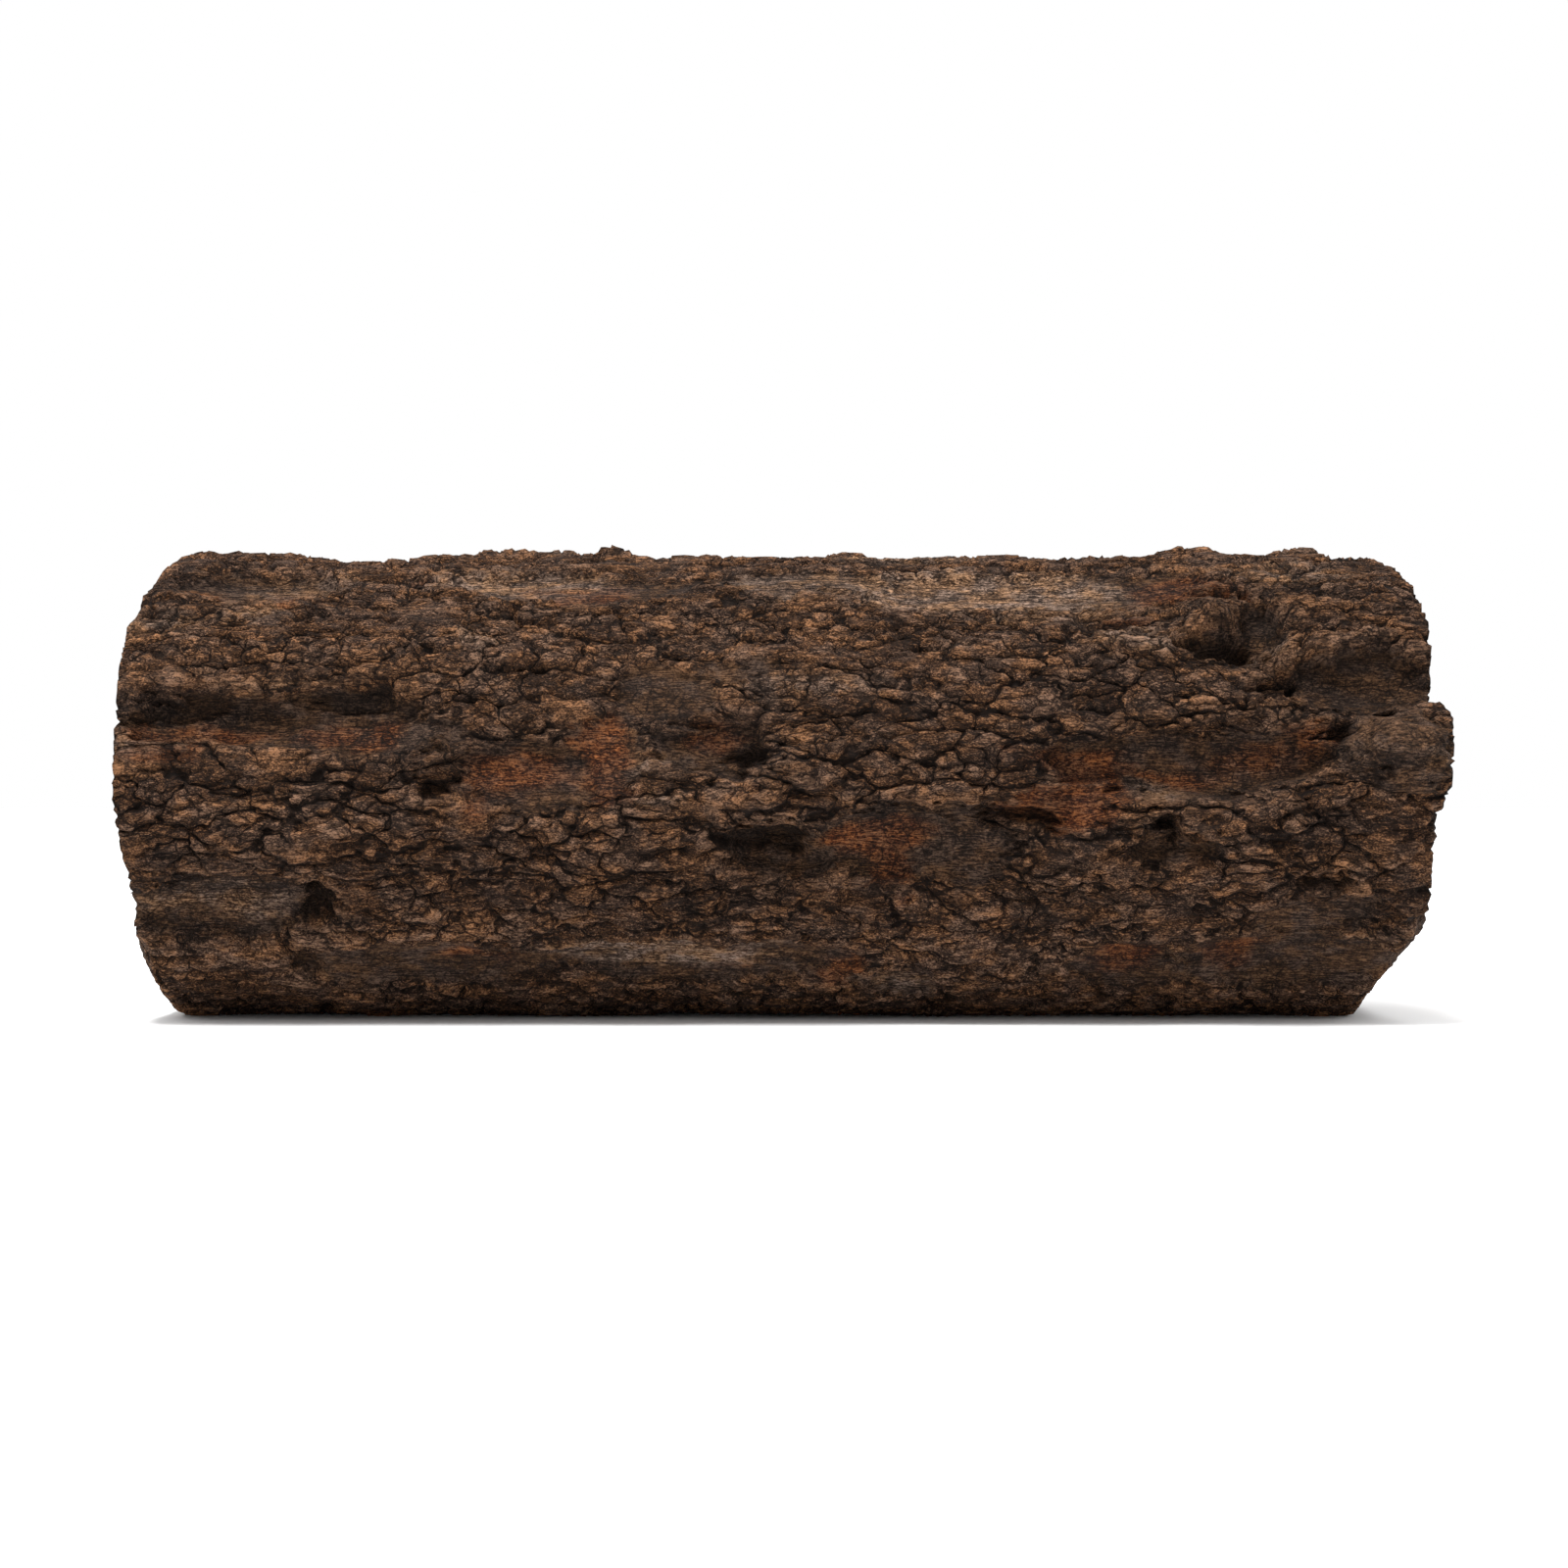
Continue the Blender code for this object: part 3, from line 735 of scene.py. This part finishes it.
    grain_relief = p.math("MULTIPLY_ADD", p.math("SUBTRACT", grit, fine), worn, fine)
    relief = p.weighed((grain["crumble"], 0.5, 0.3), (grain_relief, 0.5, 1.3), (speck, 0.5, 0.8),
                       (crack_here, 0.0, -0.9), (chip_level, 0.5, 0.4))
    on_outer = p.product(flake, p.math("SUBTRACT", 1.0, worn))
    relief = p.math("MULTIPLY_ADD", on_outer, 0.28, relief)
    relief = p.math("MULTIPLY_ADD", p.product(line, worn), 0.24, relief)
    bump = p.node("ShaderNodeBump", {"Height": relief, "Strength": 1.0, "Distance": MM})
    tree.links.new(bump.outputs[0], shader.inputs["Normal"])
    return material


# ---------------------------------------------------------------- finish of the sawn ends
# Each end shows the wood across the grain, browned by age: growth rings round the pith, darker
# heartwood, rays and checks that run out from it, the saw's marks, and the bark as a dark ring.
RING = 2.1  # mm of wood that the trunk grew in one year
HEART = (31.0, 35.0)  # mm from the pith, where the dark heartwood ends
RAYS_ROUND = 34.0  # how closely the rays stand
SAW_MARK = 0.55  # mm between the saw's marks
PAINTED_CHECK_SHADE = (0.012, 0.007, 0.005, 1)


def wood_colour(p, place, fine, rays, saw, ring, wide):
    """Growth rings and rays, lighter towards the bark, with the dark heartwood inside."""
    stain = p.noise(place, (15.0, 11.0, 11.0), 4.0, 0.6)
    heart = p.ease(p.math("MULTIPLY_ADD", stain, 14.0, wide), *HEART, 1.0, 0.0)
    tone = p.weighed((ring, 0.25, -0.34), (rays, 0.5, 0.35), (fine, 0.5, 0.7),
                     (stain, 0.5, 1.0), (saw, 0.5, 0.25))
    sapwood = p.ramp(tone, [(0.15, (0.034, 0.019, 0.012)), (0.55, (0.098, 0.058, 0.035)),
                            (0.9, (0.21, 0.132, 0.082))])
    heartwood = p.ramp(tone, [(0.15, (0.022, 0.012, 0.008)), (0.55, (0.066, 0.036, 0.021)),
                              (0.9, (0.15, 0.086, 0.051))])
    return p.blend(heart, sapwood, heartwood)


def bark_ring_tone(p, place, cork, fine, wide):
    """The bark cut across: its yearly layers and the splits between its plates."""
    layer = p.math("FRACT", p.math("MULTIPLY_ADD", cork, 1.6, p.math("DIVIDE", wide, FLAKE * 1.8)))
    drifted = p.drift(place, (5.0, 4.0, 4.0), (3.0, 4.0, 4.0), 3.0)
    split = p.cells(drifted, (40.0, 6.5, 6.5))[0]
    return p.weighed((cork, 0.5, 1.1), (layer, 0.5, 0.5), (fine, 0.5, 0.9),
                     (p.ease(split, 0.05, 0.4, 1.0, 0.0), 0.0, -0.45))


def sawn_finish():
    material = bpy.data.materials.new("sawn_end")
    material.use_nodes = True
    tree = material.node_tree
    p = Pattern(tree)
    shader = tree.nodes["Principled BSDF"]

    place = p.kept("rest", "Vector")
    parts = p.node("ShaderNodeSeparateXYZ", {0: place}).outputs
    side, up = parts[1], parts[2]
    wide = p.math("SQRT", p.math("ADD", p.product(side, side), p.product(up, up)))
    grown = p.swung(wide, p.noise(place, (20.0, 20.0, 20.0), 2.0), 7.0)
    spread = p.noise(p.node("ShaderNodeCombineXYZ", {0: grown}).outputs[0], (5.0, 1.0, 1.0), 2.0)
    year = p.math("ADD", p.math("DIVIDE", grown, RING), p.math("MULTIPLY", spread, 3.0))
    ring = p.math("POWER", p.math("FRACT", year), 3.0)
    fan = p.node("ShaderNodeCombineXYZ", {0: p.product(p.math("ARCTAN2", up, side), RAYS_ROUND),
                                          1: p.math("DIVIDE", wide, 7.0)}).outputs[0]
    rays = p.noise(fan, (1.0, 1.0, 1.0), 2.0)
    saw = p.noise(p.vector("ADD", place, (0.0, 40.0, 0.0)), (60.0, 30.0, SAW_MARK), 2.0)
    fine = p.noise(place, (0.6, 0.45, 0.45), 3.0, 0.65)
    cork = p.noise(place, (3.0, 2.0, 2.0), 5.0, 0.65)
    bark_tone = bark_ring_tone(p, place, cork, fine, wide)
    bark = p.ramp(bark_tone, [(0.2, (0.012, 0.007, 0.0045)), (0.55, (0.050, 0.027, 0.016)),
                              (0.85, (0.16, 0.085, 0.05))])
    bark_inside = WOOD_SHARE * PLAIN_REACH
    is_bark = p.ease(p.swung(wide, cork, 3.0), bark_inside - 0.3, bark_inside + 0.3)
    colour = p.blend(is_bark, wood_colour(p, place, fine, rays, saw, ring, wide), bark)
    # Painted shade: the checks in the sawn wood are darkened, more the deeper they go.
    colour = p.blend(p.ease(p.kept("check"), 0.4, 2.2, 0.0, 0.9), colour, PAINTED_CHECK_SHADE)
    tree.links.new(colour, shader.inputs["Base Color"])
    tree.links.new(p.math("MULTIPLY_ADD", fine, 0.2, 0.74), shader.inputs["Roughness"])
    shader.inputs["Specular IOR Level"].default_value = 0.15

    relief = p.weighed((ring, 0.25, 0.12), (rays, 0.5, 0.15), (fine, 0.5, 0.35), (saw, 0.5, 0.35),
                       (p.product(bark_tone, is_bark), 0.0, 1.2))
    bump = p.node("ShaderNodeBump", {"Height": relief, "Strength": 1.0, "Distance": MM})
    tree.links.new(bump.outputs[0], shader.inputs["Normal"])
    return material


log.data.materials.append(bark_finish())
log.data.materials.append(sawn_finish())
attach(log, "root")
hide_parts("wood_log")


# ---------------------------------------------------------------- floor, light and camera
# A wide white floor under the log, an even white room round it, and one large soft light overhead,
# a little in front. The camera stands level with the log's middle, square to its side.
FLOOR_RADIUS = 6.0
FLOOR_WHITE = (0.95, 0.95, 0.95, 1)
LIGHT_PLACE = (-0.12, -0.33, 0.97)
LIGHT_AIM = (0, 0, 0.05)
LIGHT_SIZE = 0.4
LIGHT_POWER = 15.6
CAMERA_PLACE = (0, -0.7215, 0.055)
LENS = 68.7

sheet = bmesh.new()
bmesh.ops.create_circle(sheet, cap_ends=True, segments=96, radius=FLOOR_RADIUS)
floor_mesh = bpy.data.meshes.new("studio_floor")
sheet.to_mesh(floor_mesh)
sheet.free()
studio_floor = bpy.data.objects.new("studio_floor", floor_mesh)
scene.collection.objects.link(studio_floor)
paper = bpy.data.materials.new("white_floor")
paper.use_nodes = True
paper_shader = paper.node_tree.nodes["Principled BSDF"]
paper_shader.inputs["Base Color"].default_value = FLOOR_WHITE
paper_shader.inputs["Roughness"].default_value = 0.9
floor_mesh.materials.append(paper)

# The room is dimmer low down behind the camera, so that the log's front keeps its depth.
world = bpy.data.worlds.new("studio_room")
world.use_nodes = True
room = Pattern(world.node_tree)
background = world.node_tree.nodes["Background"]
looking = room.node("ShaderNodeTexCoord", {}).outputs["Generated"]
towards = room.node("ShaderNodeSeparateXYZ", {0: looking}).outputs
low_fill = room.ease(towards[2], 0.05, 0.35, 1.0, 0.22)
ahead = room.ease(towards[1], -0.7, 0.25, low_fill, 1.0)
overhead = room.ease(towards[2], 0.25, 0.95, 0.0, 1.2)
room.tree.links.new(room.math("ADD", ahead, overhead), background.inputs["Strength"])
background.inputs["Color"].default_value = (1, 1, 1, 1)
scene.world = world
scene.view_settings.view_transform = "Standard"

lamp = bpy.data.lights.new("softbox", "AREA")
lamp.shape = "DISK"
lamp.size = LIGHT_SIZE
lamp.energy = LIGHT_POWER
softbox = bpy.data.objects.new("softbox", lamp)
softbox.location = LIGHT_PLACE
to_log = Vector(LIGHT_AIM) - Vector(LIGHT_PLACE)
softbox.rotation_euler = to_log.to_track_quat("-Z", "Y").to_euler()
scene.collection.objects.link(softbox)

view = bpy.data.cameras.new("side_view")
view.lens = LENS
camera = bpy.data.objects.new("side_view", view)
camera.location = CAMERA_PLACE
camera.rotation_euler = (math.radians(90), 0, 0)
scene.collection.objects.link(camera)
scene.camera = camera
